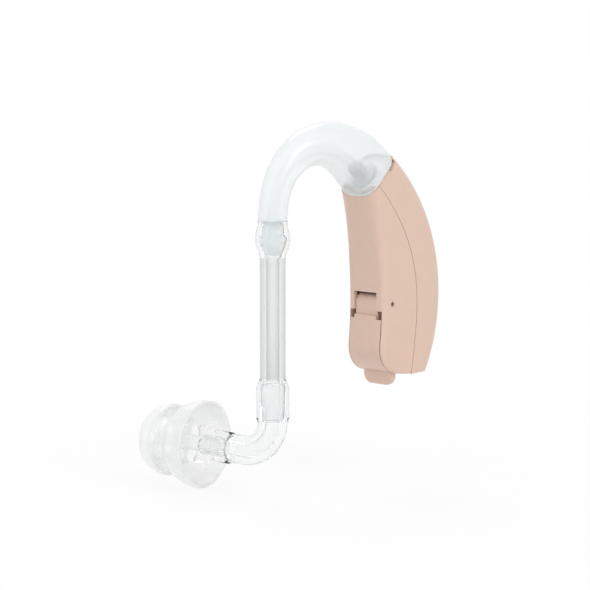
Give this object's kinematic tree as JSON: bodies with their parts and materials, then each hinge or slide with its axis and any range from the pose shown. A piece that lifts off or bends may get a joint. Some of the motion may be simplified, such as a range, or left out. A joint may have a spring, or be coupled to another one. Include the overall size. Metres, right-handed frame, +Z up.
{
  "type": "behind the ear hearing aid",
  "caption": "Curved beige case worn behind the ear, with a clear ear hook, sound tube, elbow and soft double-flange ear tip, and a hinged battery door.",
  "frame": {"origin": "the ear saddle: the inner top of the ear hook, in its middle plane, where it hangs on the root of the ear", "axes": "+Z up, +X from the sound tube towards the case, +Y the way the ear tip points, across the case's thickness"},
  "size_m": [0.0449, 0.0288, 0.0594],
  "materials": {
    "case_plastic": "smooth moulded beige, soft sheen",
    "chassis_plastic": "matt moulded grey",
    "hook_plastic": "clear moulded plastic, slightly milky",
    "nipple_metal": "turned, plated",
    "seal_rubber": "soft, matt",
    "clear_tubing": "clear flexible tubing",
    "clear_plastic": "clear moulded plastic",
    "tip_silicone": "clear soft silicone",
    "pin_steel": "drawn and ground",
    "cell_metal": "pressed, nickel plated",
    "can_metal": "pressed metal can",
    "boot_rubber": "soft, matt",
    "screen_mesh": "fine woven mesh",
    "inner_tubing": "soft, translucent",
    "board_laminate": "green laminate",
    "chip_resin": "black moulded resin",
    "capacitor_ceramic": "fired, plain",
    "contact_metal": "gold plated spring strip",
    "button_plastic": "smooth moulded beige",
    "switch_plastic": "moulded, plain",
    "red_wire": "enamelled",
    "blue_wire": "enamelled",
    "black_wire": "insulated"
  },
  "bodies": {
    "case": {"front_shell": "case_plastic", "rear_shell": "case_plastic", "chassis": "chassis_plastic", "ear_hook": "hook_plastic", "hook_nipple": "nipple_metal", "nipple_seal": "seal_rubber", "door_hinge_pin": "pin_steel", "microphone": "can_metal", "microphone_boot": "boot_rubber", "microphone_screen": "screen_mesh", "receiver": "can_metal", "receiver_boot": "boot_rubber", "receiver_tube": "inner_tubing", "circuit_board": "board_laminate", "amplifier_chip": "chip_resin", "board_capacitors": "capacitor_ceramic", "positive_contact": "contact_metal", "negative_contact": "contact_metal", "tact_switch": "switch_plastic", "microphone_wires": "red_wire", "receiver_wires": "blue_wire", "battery_leads": "black_wire"},
    "door": {"battery_door": "case_plastic", "battery_can": "cell_metal", "battery_seal": "seal_rubber", "battery_cap": "cell_metal"},
    "tube": {"sound_tube": "clear_tubing"},
    "elbow": {"tube_elbow": "clear_plastic"},
    "tip": {"ear_tip": "tip_silicone"},
    "button": {"program_button": "button_plastic"}
  },
  "joints": [
    {"name": "door_hinge", "type": "hinge", "parent": "case", "child": "door", "pos_m": [0.01215, 0, -0.0225], "axis": [0, 1, 0], "range_deg": [0, 80]},
    {"name": "tube_swivel", "type": "hinge", "parent": "case", "child": "tube", "pos_m": [-0.01012, 0, -0.0125], "axis": [0, 0, 1], "range_deg": [-75, 75]},
    {"name": "elbow_swivel", "type": "hinge", "parent": "tube", "child": "elbow", "pos_m": [-0.01012, 0, -0.038], "axis": [0, 0, 1], "range_deg": [-75, 75]},
    {"name": "tip_slide", "type": "slide", "parent": "elbow", "child": "tip", "axis": [-0.2418, 0.97, 0.0262], "range_m": [0, 0.008]},
    {"name": "button_press", "type": "slide", "parent": "case", "child": "button", "axis": [-0.9901, 0, 0.1404], "range_m": [0, 0.0003], "stiffness_N_per_m": 2000}
  ]
}
